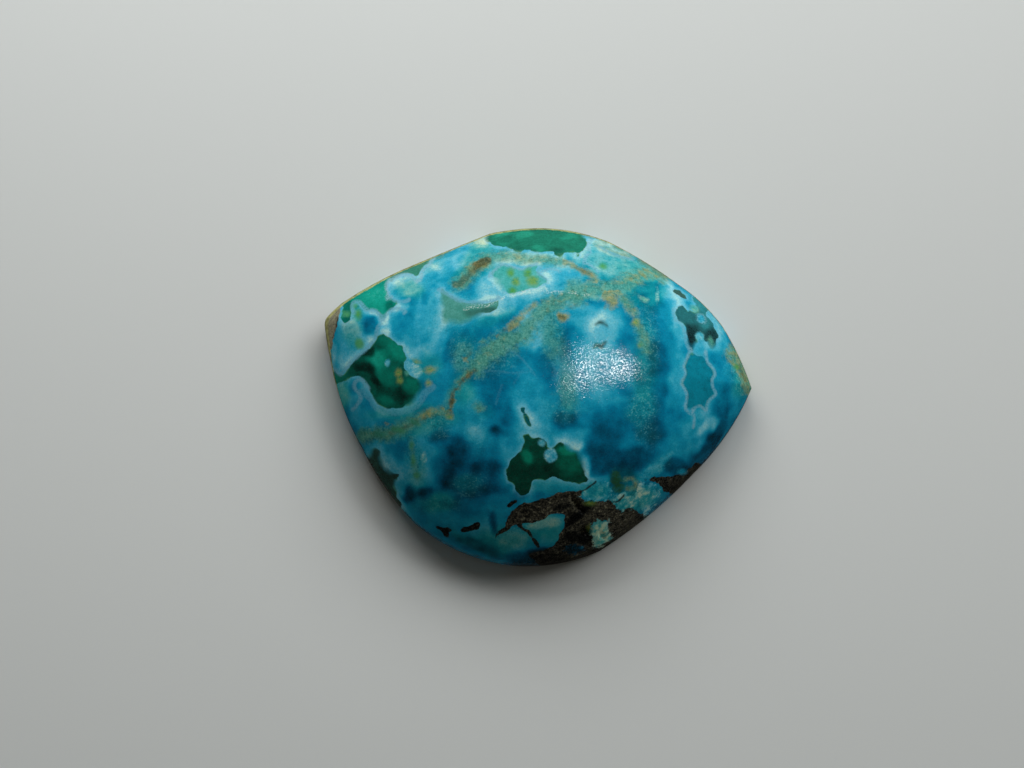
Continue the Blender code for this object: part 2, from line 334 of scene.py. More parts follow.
# Crisp patches of glassy green: tone, lean to blue, lean to grey, and outline.
PATCHES = {
    "left emerald": (0.68, 0.15, 0, (
        (343, 300), (352, 294), (360, 289), (370, 283), (380, 278), (390, 273), (388, 281), (386, 286),
        (387, 291), (390, 297), (397, 302.5), (394, 307), (389, 311), (384, 316), (381, 318.5),
        (379, 313), (374, 309.5), (368, 310.5), (363, 308), (360.5, 304), (356.5, 302), (352.5, 303.5),
        (351, 308), (351, 315), (349.5, 321), (345, 322.5), (341, 319), (342.5, 312), (343, 305))),
    "left rim strip": (0.66, 0, 0.6, (
        (388, 274), (400, 267), (410, 262), (420, 257), (432, 251), (429, 262), (424, 266), (420, 271),
        (416, 275.5), (410, 273.5), (403, 273.5), (397, 276.5), (391, 281))),
    "great green": (0.3, 0.1, 0, (
        (383, 334.5), (378, 336), (375, 341), (372, 346), (367, 350), (362, 354), (354, 361), (350, 367),
        (344, 375), (338, 374), (333, 370), (326, 372), (328, 383), (337, 384), (345, 380), (353, 377),
        (360, 376), (365, 381), (369, 388), (372, 395), (376, 401), (382, 406), (390, 408.5), (398, 408),
        (406, 406), (412, 402), (417, 395), (421, 388), (420, 381), (413, 378), (407, 372), (404, 365),
        (406, 358), (404, 352), (402, 347), (396, 343), (390, 338.5))),
    "far green": (0.5, 0, 0.22, (
        (486, 239), (490, 226), (500, 220), (540, 216), (586, 222), (582, 234), (585, 239), (587, 244),
        (584, 249), (580, 252), (578, 256), (575.5, 252.5), (569, 251.5), (563.5, 252), (561, 257),
        (557.5, 256), (555, 255.5), (553.5, 251.5), (548, 251), (539, 252), (530, 250.5), (524, 250),
        (519, 251.5), (512, 249.5), (506.5, 247), (499, 246.5), (493, 244.5), (489, 241.5))),
    "spotted green": (0.9, 0.3, 0.2, (
        (492, 270.5), (496.5, 266), (502, 264.5), (509, 266), (514.5, 268), (522, 269), (530, 266.5),
        (537, 266), (535.5, 271), (541, 276), (547, 279.5), (544.5, 283), (537, 287), (528, 288.5),
        (521, 290.5), (512, 293), (506.5, 292), (502, 287), (498, 282), (493, 276))),
    "grey wedge": (0.84, 0.2, 0.7, (
        (441.5, 289), (447, 293), (453, 297), (461, 301.5), (472, 303), (485, 303), (494, 302),
        (499, 299.5), (497.5, 305), (495.5, 310.5), (489, 312), (482, 313), (473, 318), (466.5, 321.5),
        (458, 323), (451, 321.5), (444.5, 322), (443, 315), (443, 307), (441, 298))),
    "right slate": (0.46, 0.7, 0.4, (
        (676, 310.5), (679, 306), (683, 306), (685.5, 309), (688, 311.5), (691.5, 310.5), (696, 313.5),
        (698, 309), (695, 303), (693, 297), (697, 297), (704, 303), (708.5, 309), (705.5, 313),
        (708, 318), (713, 324), (715.5, 330), (718, 335), (716.5, 340.5), (714, 347), (711.5, 347),
        (709.5, 345), (707, 341), (703.5, 340.5), (704, 336), (700.5, 333), (696.5, 334), (695.5, 337),
        (697, 340.5), (694.5, 345), (691.5, 351), (689, 346), (688, 340.5), (687, 334), (686, 328),
        (683, 323), (678.5, 320.5), (676, 316))),
    "teal oval": (0.55, 1, 0, (
        (691, 353), (688, 357), (686, 363), (684.5, 368), (686, 374), (683, 380), (682.5, 384),
        (685, 388), (687.5, 393), (687, 399.5), (686.5, 406), (688, 409), (693, 408.5), (696, 406),
        (700.5, 405.5), (704.5, 409), (706.5, 404), (710, 398), (714, 394.5), (713, 389.5), (711, 385),
        (712, 379.5), (713.5, 374), (712, 368), (708.5, 364), (705.5, 359.5), (704, 356.5), (698, 356.5))),
    "front green": (0.2, 0, 0, (
        (523, 436), (528, 434), (531, 437.5), (537, 438), (542, 439), (546, 443), (547, 447),
        (550, 449.5), (554, 448), (558, 444), (562, 443.5), (566, 446), (570, 450), (577, 452),
        (580, 458), (583, 466), (585, 474), (588, 480.5), (582, 483), (574, 483), (566, 481.5),
        (558, 478), (552, 477), (545, 479.5), (538, 479), (533, 480.5), (531, 485), (530, 490),
        (527, 494.5), (521, 495), (516, 492), (515, 486), (512, 482), (508, 480), (506, 475), (506, 470),
        (509, 465), (512, 459), (517, 455), (521, 451), (523, 446), (525, 441))),
    "sliver": (0.32, 0.6, 0, (
        (521.5, 408), (525, 407.5), (525.5, 413), (528, 416), (529.5, 420), (531.5, 425), (528, 425.5),
        (525, 420), (523.5, 414), (521.5, 411))),
    "left fleck": (0.32, 0.4, 1, (
        (593, 348), (595.5, 344), (600, 344), (603, 342), (606, 341.5), (605.5, 345), (602.5, 348.5),
        (598, 347.5))),
    "left fleck two": (0.34, 0.4, 1, (
        (596, 324.5), (598, 321), (603, 320.5), (606, 322.5), (608.5, 328.5), (604.5, 325), (600, 324.5))),
    "right fleck": (0.4, 0.2, 1, (
        (673, 290), (677, 289.5), (682, 292.5), (687, 298.5), (683, 298.5), (679, 295.5), (675, 293.5))),
    "front left edge": (0.22, 0, 0.8, (
        (364, 462), (369.5, 456), (372, 450.5), (376, 448.5), (379.5, 451.5), (380, 458), (383, 465),
        (388, 470.5), (393, 473.5), (398.5, 475), (396.5, 479), (394, 482), (395, 489), (397, 496),
        (401, 506), (392, 503), (380, 490), (370, 474))),
}

# Inside the patches, in the same terms: the patch tone they bring.
PATCH_WASHES = (
    (346, 313, 6, 12, 0.42), (375, 297, 14, 9, 0.8), (391, 306, 6, 6, 0.48), (338, 378, 10, 6, 0.52),
    (396, 350, 12, 9, 0.6, 35), (388, 374, 12, 12, 0.46), (378, 360, 10, 9, 0.74, 20),
    (365, 369, 9, 6, 0.03), (374, 380, 4, 11, 0.05, -40), (392, 392, 16, 4, 0.22, 15),
    (405, 396, 9, 6, 0.08), (385, 400, 10, 5, 0.46, 20), (413, 388, 7, 10, 0.46),
    (371, 352, 5, 4, 0.12, -40), (383, 341, 6, 5, 0.46), (362, 376, 8, 3, 0.28), (514, 246, 8, 4, 0.42),
    (503, 235, 10, 8, 0.78), (556, 251, 9, 5, 0.38), (576, 246, 9, 8, 0.5), (524, 236, 9, 4, 0.72),
    (568, 235, 9, 3, 0.68), (544, 241, 10, 6, 0.5), (504, 238, 10, 4, 0.46), (536, 247, 6, 2.5, 0.66),
    (488, 309, 9, 4, 0.42, -15), (478, 313, 12, 4, 0.54, -15), (700, 304, 12, 8, 0.72, 30),
    (682, 313, 8, 7, 0.44), (708, 322, 6, 10, 0.6, -30), (694, 328, 10, 5, 0.24, 20),
    (690, 337, 6, 12, 0.1), (711, 337, 7, 8, 0.16), (529, 455, 8, 7, 0.56), (536, 444, 7, 5, 0.22),
    (520, 472, 14, 10, 0.16), (550, 471, 9, 9, 0.1), (571, 463, 13, 11, 0.36), (568, 449, 11, 5, 0.54),
    (522, 487, 8, 8, 0.18), (532, 473, 8, 6, 0.12),
)

# Where the patches' edges are blurred, in the same terms, from 0 to 1.
SOFT_WASHES = (
    (583, 456, 7, 15, 0.9, -20), (378, 468, 10, 24, 0.7, -35), (600, 345, 9, 6, 0.35),
    (602, 324, 9, 6, 0.35), (572, 448, 8, 5, 0.8), (452, 321, 12, 5, 0.9), (470, 318, 12, 4, 0.7, -20),
    (443, 306, 5, 12, 0.6), (498, 285, 8, 8, 0.9), (500, 268, 10, 5, 0.6), (487, 232, 6, 8, 0.8),
    (584, 230, 5, 8, 0.7), (416, 399, 11, 7, 0.7, -30), (422, 385, 6, 8, 0.8), (388, 276, 8, 5, 0.5),
    (690, 344, 6, 6, 0.5), (712, 346, 5, 4, 0.6), (700, 408, 12, 4, 0.5),
)

# Host rock: how light it is, and outline.
ROCKS = {
    "left tip": (0.91, (
        (341, 303), (336, 308), (329, 311), (318, 318), (318, 335), (326, 356), (330.5, 350), (333, 342),
        (335, 332), (337, 324), (339, 315), (341, 307))),
    "front rock": (0.46, (
        (496, 536), (499, 532), (504, 528), (506.5, 521), (509, 515.5), (514.5, 509), (523, 503.5),
        (533, 502), (538, 500), (545.5, 498.5), (552, 495.5), (561, 493), (574, 491), (582, 490.5),
        (581, 498), (585.5, 500.5), (597, 501), (610, 500.5), (613.5, 503.5), (617, 508.5), (623, 509.5),
        (633, 509), (642, 513.5), (648, 515.5), (664, 518), (650, 540), (615, 562), (585, 574),
        (562, 581), (548, 577), (541, 566), (532, 559), (530, 554), (543, 551), (552, 546), (558, 541),
        (561, 533), (563.5, 528), (565.5, 521), (564, 514.5), (556.5, 513.5), (549, 514.5), (544.5, 518),
        (538, 521.5), (523, 522.5), (516, 524), (509, 529), (502, 533))),
    "rock arm": (0.34, (
        (515, 522), (523, 526.5), (530, 532), (536, 541), (539, 547), (535.5, 545), (529, 535),
        (521, 528.5))),
    "right rock": (0.36, (
        (641, 480.5), (649, 478.5), (657, 477.5), (665, 477), (673, 476), (681, 473.5), (687, 470.5),
        (697, 463), (704, 470), (690, 492), (676, 496), (670, 493.5), (664, 491), (660, 486),
        (653, 481.5), (647, 480))),
    "front flecks": (0.2, (
        (435.5, 526.5), (442, 528), (450, 527.5), (452, 530), (448.5, 533), (448.5, 538), (445, 535),
        (441, 530.5))),
    "front flecks two": (0.24, (
        (460, 531), (463, 527.5), (469, 526.5), (473, 523), (478, 522.5), (480.5, 525), (477, 529.5),
        (470, 531.5), (464, 532.5))),
    "small fleck": (0.2, (
        (507, 505.5), (511, 502.5), (516, 500.5), (517, 502), (512, 505.5), (508.5, 507))),
}

# Inside the rock, in the same terms: how light it is. The near-black washes over the open pits are
# painted shade.
ROCK_WASHES = (
    (577, 516, 12, 4.5, 0.02, -41), (584, 538, 9, 7, 0.06), (571, 538, 6, 5, 0.14),
    (562, 504, 10, 3, 0.22, -15), (574, 499, 9, 4, 0.56), (604, 509, 12, 5, 0.58),
    (622, 520, 12, 8, 0.5, 20), (585, 521, 6, 4, 0.6, -40), (527, 510, 15, 6, 0.44, -20),
    (548, 504, 8, 4, 0.5, -10), (645, 519, 8, 3, 0.3, 20), (600, 552, 20, 5, 0.3, -25),
    (548, 562, 30, 9, 0.24), (664, 486, 10, 5, 0.3, 30), (560, 545, 5, 6, 0.3),
)

# Bits of other stone in and beside the rock: tone, lean to yellow-green, and outline.
INCLUSIONS = {
    "moss": (0.1, 0.17, (
        (612, 474), (617, 470), (620, 477), (624, 486), (621, 494), (615, 492), (612.5, 484))),
    "white and green": (0.88, 0.1, (
        (589, 529), (590.5, 526.5), (594.5, 523), (601, 521.5), (608, 521), (607, 527.5), (608, 534),
        (610.5, 538), (605.5, 542), (596, 547), (594, 540), (591, 534.5))),
    "dark lobe": (0.06, 0, ((566, 547), (572, 545), (580, 546.5), (584, 549), (577, 553), (568, 553))),
    "left breccia": (0.72, 0, (
        (582, 492), (588, 488), (594, 484), (603, 483), (610, 485), (611, 491), (608.5, 498), (606, 501),
        (597, 500.5), (586, 500), (581.5, 497))),
    "right breccia": (0.72, 0, (
        (613, 498), (618, 494), (625, 492.5), (631, 495.5), (636, 491), (640, 500), (641, 510),
        (634, 508.5), (627, 506), (621, 509.5), (616, 504))),
    "pale breccia": (0.88, 0.04, (
        (640, 484.5), (647, 482.5), (654, 485), (658, 491), (656, 500), (652, 505), (649, 512),
        (645.5, 515), (641, 510), (639, 500), (637, 491))),
}

# Veins of grainy olive and tan: half width, warmth, strength, and the points they run through.
# Widths and radii from here on are in pixels.
VEINS = (
    (1.7, 0.34, 0.95, ((450, 416), (451, 408), (452, 400), (454, 391), (458, 384))),
    (2.4, 0.26, 0.95, ((458, 384), (464, 377), (471, 371), (478, 366))),
    (6.5, 0.12, 0.9, ((477, 366), (483, 359), (489, 352), (497, 346), (505, 341))),
    (7, 0.18, 0.86, ((505, 341), (514, 338), (523, 336), (529, 325), (537, 316), (546, 309))),
    (6.5, 0.24, 0.86, ((546, 309), (555, 303), (566, 299), (578, 297))),
    (2.8, 0.55, 0.85, ((510, 329), (517, 322), (523, 316))),
    (2.4, 0.6, 0.75, ((525, 313), (530, 309), (535, 304))),
    (3.4, 0.34, 0.95, ((447, 412), (438, 411), (430, 413), (423, 417), (413, 422))),
    (5, 0.16, 0.95, ((413, 422), (404, 427), (395, 432), (384, 434), (372, 434), (364, 436))),
    (3, 0.1, 0.5, ((447, 410), (451, 398), (456, 388), (464, 379))),
    (4.4, 0.2, 0.9, ((458, 284), (464, 282), (468, 275), (473, 269))),
    (5, 0.4, 0.95, ((472, 270), (478, 265), (486, 261.5))),
    (3.2, 0.24, 0.8, ((478, 407), (480, 409))),
    (3.6, 0.26, 0.8, (
        (488, 259), (492, 257), (502, 256), (512, 256), (524, 258), (536, 259), (547, 260), (556, 261.5))),
    (2.4, 0.55, 0.8, ((566, 263), (572, 265), (578, 268), (586, 272), (593, 276), (594.5, 281))),
    (2.4, 0.4, 0.7, ((594, 280), (588, 285.5), (578, 286.5))),
    (3, 0.42, 0.75, ((548, 306), (555, 300), (562, 295))),
    (6, 0.55, 0.85, ((606, 292), (611, 293), (616, 292))),
    (4.5, 0.62, 0.9, ((611, 297), (613, 301))),
    (6, 0.22, 0.7, ((575, 289), (588, 288), (600, 289), (614, 288), (628, 284))),
    (4.8, 0.4, 0.85, ((620, 284), (629, 281), (638, 277), (647, 273), (656, 273), (664, 276))),
    (3, 0.34, 0.8, ((622, 298), (628, 305), (634, 313))),
    (3, 0.8, 0.85, ((560, 316), (565, 317))),
    (6, 0.04, 0.5, ((550, 318), (549, 330), (552, 341), (558, 351))),
    (6, 0, 0.35, ((558, 351), (563, 362), (565, 374), (566, 388), (568, 400))),
    (3.2, 0.24, 0.75, ((637, 322), (641, 331), (644, 340), (646, 350))),
    (5.4, 0.4, 0.95, ((734, 354), (738, 361), (743, 370), (748, 381), (752, 388))),
    (1.6, 0.14, 0.7, ((411, 438), (412, 450), (414, 462), (417, 478))),
    (4, 0.16, 0.42, ((461, 366), (458, 356), (464, 348), (468, 356))),
    (2.4, 0.65, 0.75, ((465, 359), (469, 356))),
    (2.2, 0.3, 0.8, ((437, 256), (446, 251))),
    (1.4, 0.36, 0.8, ((625, 481), (631, 478), (636, 482), (634, 488), (627, 488))),
    (1.6, 0.6, 0.7, ((388, 274), (400, 268), (412, 262), (424, 257))),
    (1.8, 0.4, 0.8, ((583, 233), (591, 235), (600, 238), (606, 242))),
    (1.8, 0.2, 0.8, ((615, 247), (621, 250))),
    (1.8, 0.36, 0.6, ((596, 243), (606, 249), (618, 254), (630, 257))),
    (2.2, 0.45, 0.7, ((640, 260), (650, 266), (660, 274))),
    (3, 0.7, 0.95, ((741, 372), (745, 379))),
    (0.9, 1, 0.9, ((386, 423), (388, 424))),
)

# Dark brown and ochre grains in the veins: half width, strength, and the points they run through.
BROWN_LINES = (
    (3.6, 0.8, ((475, 268), (481, 263), (488, 260))),
    (3, 0.55, ((455, 284), (461, 283), (466, 278), (470, 273))),
    (1.6, 0.9, ((450, 414), (451, 404), (453, 396), (457, 388))),
    (1.2, 0.8, ((457, 388), (462, 381), (468, 376), (475, 371))),
    (1.6, 0.45, ((390, 433), (400, 430), (412, 424), (425, 418))),
    (1.4, 0.6, ((560, 316), (564, 318))),
    (1.4, 0.5, ((466, 357), (470, 354))),
    (1.2, 0.6, ((739, 366), (742, 374), (746, 382))),
    (1.6, 0.5, ((576, 268), (583, 271), (590, 274))),
    (1.2, 0.5, ((497, 337), (503, 331), (512, 327))),
)

# Where the ground breaks up into pale green grains, in the same terms as the washes, from 0 to 1.
GRAIN_WASHES = (
    (646, 330, 12, 20, 0.75), (650, 345, 8, 16, 0.85), (645, 378, 8, 16, 0.6), (642, 406, 14, 16, 0.8),
    (648, 432, 10, 16, 0.6), (562, 410, 18, 10, 0.7), (568, 392, 8, 20, 0.6), (552, 330, 12, 30, 0.7),
    (498, 347, 28, 13, 0.6, -35), (462, 356, 12, 18, 0.8), (590, 290, 42, 10, 0.6, -5),
    (525, 259, 42, 6, 0.5), (438, 426, 12, 14, 0.8), (414, 458, 9, 24, 0.7), (612, 262, 36, 18, 0.4, 10),
    (738, 372, 10, 24, 0.6, -20), (470, 486, 16, 12, 0.5), (441, 505, 26, 8, 0.4),
    (382, 434, 26, 8, 0.7, -8), (468, 276, 18, 6, 0.6, -40), (596, 492, 16, 10, 0.9),
    (636, 499, 24, 12, 1, -18), (600, 532, 10, 12, 0.8), (541, 524, 20, 9, 0.5, -15),
    (514, 538, 16, 12, 0.6), (452, 312, 14, 20, 0.4), (478, 436, 10, 16, 0.3),
    (656, 466, 24, 6, 0.5, -36), (352, 320, 10, 24, 0.4), (500, 365, 22, 8, 0.4, -30),
)

# Bright grains and blobs: tone, lean to yellow-green, radii, turn and place.
BLOBS = (
    (0.85, 0, 6.4, 6.4, 0, (551, 455.5)), (0.85, 0.1, 3.2, 3.2, 0, (541.5, 443)),
    (0.86, 0, 5.4, 6, 0, (416.5, 371)), (0.86, 0, 5, 3.6, 20, (410.5, 365.5)),
    (0.8, 0, 2.6, 3.4, 0, (387.5, 362.5)), (0.85, 0.3, 2, 2, 0, (407, 373)),
    # lime
    (0.7, 0.45, 4.6, 5.4, 0, (359.5, 344)), (0.8, 0.6, 3.4, 4, 0, (510.5, 272.5)),
    (0.8, 0.7, 4, 4.2, 0, (515.5, 282)), (0.8, 0.6, 3.4, 4.4, 0, (528, 272.5)),
    (0.8, 0.7, 5.8, 4.8, 20, (532.5, 281)), (0.8, 0.55, 3.4, 3, 0, (512.5, 290)),
    (0.8, 0.4, 4, 3, 0, (346, 314)), (0.6, 0.45, 2.2, 2.2, 0, (355.5, 306)),
    (0.7, 0.5, 3, 4.4, 0, (358.5, 315)), (0.84, 0.5, 3.6, 2.2, 10, (603, 266)),
    (0.8, 0.5, 2.6, 2.4, 0, (736, 367)), (0.86, 0.8, 2, 2, 0, (640, 345)),
    (0.4, 0.26, 7, 2.6, 6, (380, 434)), (0.4, 0.3, 7, 2.6, 14, (398, 430)),
    (0.4, 0.26, 5, 2.2, 30, (414, 422)), (0.6, 0.4, 1.4, 4, 0, (411.5, 446)),
    (0.6, 0.4, 1.6, 4, 0, (413, 460)), (0.6, 0.36, 3, 2.4, 0, (417, 475)),
    # yellow
    (0.86, 0.9, 2.4, 2.8, 0, (398.5, 373)), (0.86, 0.85, 2, 2.6, 0, (399.5, 380)),
    (0.9, 1, 4, 2.4, -15, (430, 370)), (0.86, 0.9, 2.4, 2.4, 0, (428.5, 383)),
    (0.9, 0.8, 2.8, 1.6, 20, (416, 361.5)), (0.9, 0.9, 2.8, 3, 0, (635.5, 322.5)),
    (0.86, 0.9, 2.4, 2.4, 0, (589.5, 528)), (0.86, 0.9, 2, 1.4, 0, (449.5, 417)),
    (0.86, 0.8, 2.6, 1, 0, (590.5, 503.3)), (0.86, 0.8, 2.2, 1.6, 0, (419, 262)),
    # pale
    (0.9, 0.15, 2.6, 4.4, 0, (424, 457)), (0.76, 0, 4, 3.6, 30, (701, 318.5)),
    (0.84, 0.1, 4, 3.8, 0, (699.5, 336)), (0.88, 0.3, 2, 3.6, -25, (710.5, 341)),
    (0.9, 0.2, 4.2, 2.2, 30, (643.5, 299.5)), (0.86, 0, 1.1, 4.6, 0, (657, 296)),
    (0.9, 0.3, 4.2, 2.8, 25, (694.5, 309)), (0.62, 0, 4.4, 2.6, 0, (682, 471.5)),
    (0.9, 0.1, 5.6, 1.8, -32, (617.5, 497)),
)

# Thin pale bands, as in agate, and painted glints: half width, strength, whiteness, and the points
# they run through. At whiteness 1 a line is a painted glint, a highlight drawn as white grains along
# the dome's far shoulder; a lower whiteness pales an agate band towards the same white.
PALE_BANDS_AND_GLINTS = (
    (1.7, 0.8, 0, (
        (356, 313), (352.5, 307), (354, 302.5), (359, 302), (363, 306), (367, 310), (373, 310.5),
        (378, 313), (381, 319))),
    (1.5, 0.8, 0, (
        (381, 320), (378, 328), (375, 338), (370, 345), (364, 351), (357, 357), (350, 363), (344, 371),
        (340, 374.5), (336, 370), (333, 365))),
    (1.5, 0.8, 0.2, (
        (391, 297), (388, 292), (386.5, 287), (388, 281.5), (393, 279), (398, 276), (405, 274.5),
        (411, 275.5), (415, 279), (418, 281), (421, 277), (423, 270), (429, 264), (432, 258))),
    (1.3, 0.8, 0, ((391, 297), (396, 301), (403, 302), (409, 299))),
    (1.5, 0.8, 0, ((382, 320), (386, 315), (390, 311), (396, 308.5), (402, 309.5), (404, 313))),
    (1.5, 0.95, 0, (
        (353, 409), (357, 405), (360.5, 399), (359, 393.5), (354.5, 388), (355, 382.5), (360, 379),
        (364.5, 383), (368, 391))),
    (3, 0.4, 0, (
        (367, 389), (371, 399), (376, 407), (385, 411.5), (396, 412.5), (410, 409.5), (419, 403),
        (425, 393), (429, 386))),
    (1.6, 0.8, 0, (
        (441, 289.5), (448, 294), (456, 299.5), (466, 302), (477, 302.5), (488, 301.5), (498, 297))),
    # These four are painted glints: a highlight along the dome's far shoulder, not bands in the stone.
    (0.9, 0.8, 1, (
        (467, 308.5), (473, 307), (480, 306.5), (489, 305), (496.5, 301), (505.5, 297), (514.5, 294))),
    (0.9, 0.8, 1, ((516, 293.5), (524.5, 292), (537, 290.5), (545, 290), (552, 292), (561, 292.5))),
    (0.9, 0.8, 1, ((568, 293), (574, 292.5), (580, 294.5), (588, 295))),
    (2.2, 0.4, 1, ((541, 288), (549, 291.5))),
    (1.2, 0.8, 0.1, (
        (492, 276), (495, 270), (500, 265), (507, 265), (515, 268), (522, 269), (529, 266.5), (536, 264))),
    (1, 0.8, 0, ((541, 268), (538, 272), (541, 276), (546, 279))),
    (1, 0.8, 0.1, ((538, 274), (546, 270), (553, 269), (559, 272))),
    (1.4, 0.8, 0.1, ((584, 262), (586, 256), (590, 252), (588, 246), (592, 240))),
    (1, 0.8, 0.1, ((584, 262), (592, 266), (598, 272))),
    (0.9, 0.8, 0, ((600, 246), (611, 253), (622, 257), (634, 259))),
    (0.8, 0.9, 0.1, (
        (691.5, 351.5), (688, 357), (684, 366), (685.5, 374), (681.7, 383), (686, 391.5), (687, 396),
        (685.5, 407), (687, 410.5), (692.5, 409.5))),
    (0.8, 0.9, 0.1, (
        (704.5, 354), (707, 361.5), (712.5, 368), (715, 374), (712, 380.5), (713, 388), (716, 394),
        (709.5, 399.5), (707, 405), (706, 410.5), (700.5, 406), (695, 408), (693, 412), (694.5, 418),
        (694, 424))),
    (1.1, 0.7, 0, ((674.5, 310), (675, 319), (681, 324), (685, 333), (686, 342), (690, 351))),
    (0.7, 0.2, 0, ((512, 352), (520, 357), (528, 366), (536, 378))),
    (0.6, 0.16, 0, ((482, 372), (496, 371), (513, 373), (530, 371))),
    (0.7, 0.18, 0, ((502, 385), (499, 393), (496, 404))),
    (0.6, 0.18, 0, ((551, 362), (555, 370), (556, 381))),
    (0.6, 0.14, 0, ((510, 346), (506, 356), (504, 366))),
    (0.6, 0.12, 0, ((528, 366), (520, 374), (514, 384))),
    (0.8, 0.5, 0.3, (
        (697, 316), (701, 314.5), (705, 318), (705, 322.5), (701, 322), (697.5, 319), (697, 316))),
)

# Thin dark cracks: half width, and the points they run through.
CRACKS = (
    (0.8, ((580, 492), (586, 489), (591, 485.5), (595.5, 482))),
    (0.8, ((608, 501.5), (614, 502), (618, 501.5), (621, 498.5), (623.5, 495))),
    (0.8, ((500, 531), (497, 534), (496, 539))),
    (0.6, ((338, 317), (336, 327), (333, 338))),
)


# ---------------------------------------------------------------- drawing on the stone

WIDE_VEIN = 7  # the half width at which a vein is at its most ragged, in pixels
REACH = 30  # how far from a shape its distance is still worked out, in pixels
DRIFT_BELOW_DOME = 2.2  # how far the drawing drifts for each mm below the dome, in pixels
DRIFT_SIZE = 8  # over how many mm that drift changes
BACK_DRIFT = 9  # how much more it drifts at the middle of the back, as mm below the dome
BACK_RADIUS = 18
WASH_EDGE = 1.5  # where a wash ends, as a share of its half width

# How the washes wander: by how many pixels, over how many mm, and a seed.
WANDERS = ((4.5, 2.8, 2), (2.5, 1, 3))


def wander(points, size, seed):
    """A smooth random vector at each point, about -1 to 1, that changes over this size."""
    shift = Vector((seed * 7.3, seed * 3.1, seed * 5.7))
    return np.array([noise.noise_vector(Vector(p) / size + shift) for p in points.tolist()])


def turned(offsets, degrees=0):
    """Offsets on the photograph as seen in axes turned by this much."""
    c, s = math.cos(math.radians(degrees)), math.sin(math.radians(degrees))
    return offsets @ np.array(((c, -s), (s, c)))


def rounded(corners, steps=4):
    """A closed path through these corners, as a smooth curve."""
    here = np.array(corners, float)
    before, after, beyond = (np.roll(here, shift, 0) for shift in (1, -1, -2))
    rounds = [
        here
        + 0.5 * t * (after - before)
        + 0.5 * t**2 * (2 * before - 5 * here + 4 * after - beyond)
        + 0.5 * t**3 * (3 * here - before - 3 * after + beyond)
        for t in np.arange(steps) / steps
    ]
    return np.stack(rounds, 1).reshape(-1, 2)


def rounded_line(corners, steps=4):
    """An open path through these corners, as a smooth curve."""
    if len(corners) < 3:
        return np.array(corners, float)
    return rounded(corners, steps)[: steps * (len(corners) - 1) + 1]


def distance_to_path(places, path):
    """How far each place is from a path of straight pieces."""
    starts, along = path[:-1], np.diff(path, axis=0)
    offset = places[:, None] - starts
    share = np.clip((offset * along).sum(2) / (along**2).sum(1), 0, 1)
    return np.linalg.norm(offset - share[..., None] * along, axis=2).min(1)


def is_inside(places, path):
    """Whether each place is inside a closed path."""
    x, y = places[:, None, 0], places[:, None, 1]
    (x0, y0), (x1, y1) = path[:-1].T, path[1:].T
    spans = (y0 > y) != (y1 > y)
    crossing = x0 + (y - y0) * (x1 - x0) / np.where(y1 == y0, 1, y1 - y0)
    return (spans & (x < crossing)).sum(1) % 2 == 1


class Field:
    """How deep inside the nearest shape of one kind each vertex is, in mm, and that shape's looks."""

    def __init__(self, places, looks):
        self.places = places
        self.depth = np.full(len(places), -REACH * MM_PER_PIXEL)
        self.looks = np.zeros((len(places), looks))

    def near(self, path):
        low, high = path.min(0) - REACH, path.max(0) + REACH
        return np.flatnonzero(((self.places > low) & (self.places < high)).all(1))

    def take(self, near, depth, looks):
        depth = depth * MM_PER_PIXEL
        nearer = depth > self.depth[near]
        self.depth[near[nearer]] = depth[nearer]
        self.looks[near[nearer]] = looks

    def add_patch(self, corners, *looks):
        path = rounded(corners)
        path = np.concatenate((path, path[:1]))
        near = self.near(path)
        places = self.places[near]
        side = np.where(is_inside(places, path), 1, -1)
        self.take(near, side * distance_to_path(places, path), looks)

    def add_line(self, half_width, corners, *looks):
        path = rounded_line(corners)
        near = self.near(path)
        self.take(near, half_width - distance_to_path(self.places[near], path), looks)

    def add_blob(self, across, down, turn, centre, *looks):
        path = np.array((centre,), float)
        near = self.near(path)
        offset = turned(self.places[near] - path, turn) / (across, down)
        self.take(near, min(across, down) * (1 - np.linalg.norm(offset, axis=1)), looks)


def washed(places, ground, washes):
    """The ground with these soft-edged washes laid over it in turn."""
    value = np.full(len(places), float(ground)) if np.isscalar(ground) else ground.copy()
    for x, y, across, down, brings, *turn in washes:
        reach = np.linalg.norm(turned(places - (x, y), *turn) / (across, down), axis=1)
        cover = np.clip(WASH_EDGE - reach, 0, 1)
        value += (brings - value) * cover**2 * (3 - 2 * cover)
    return value


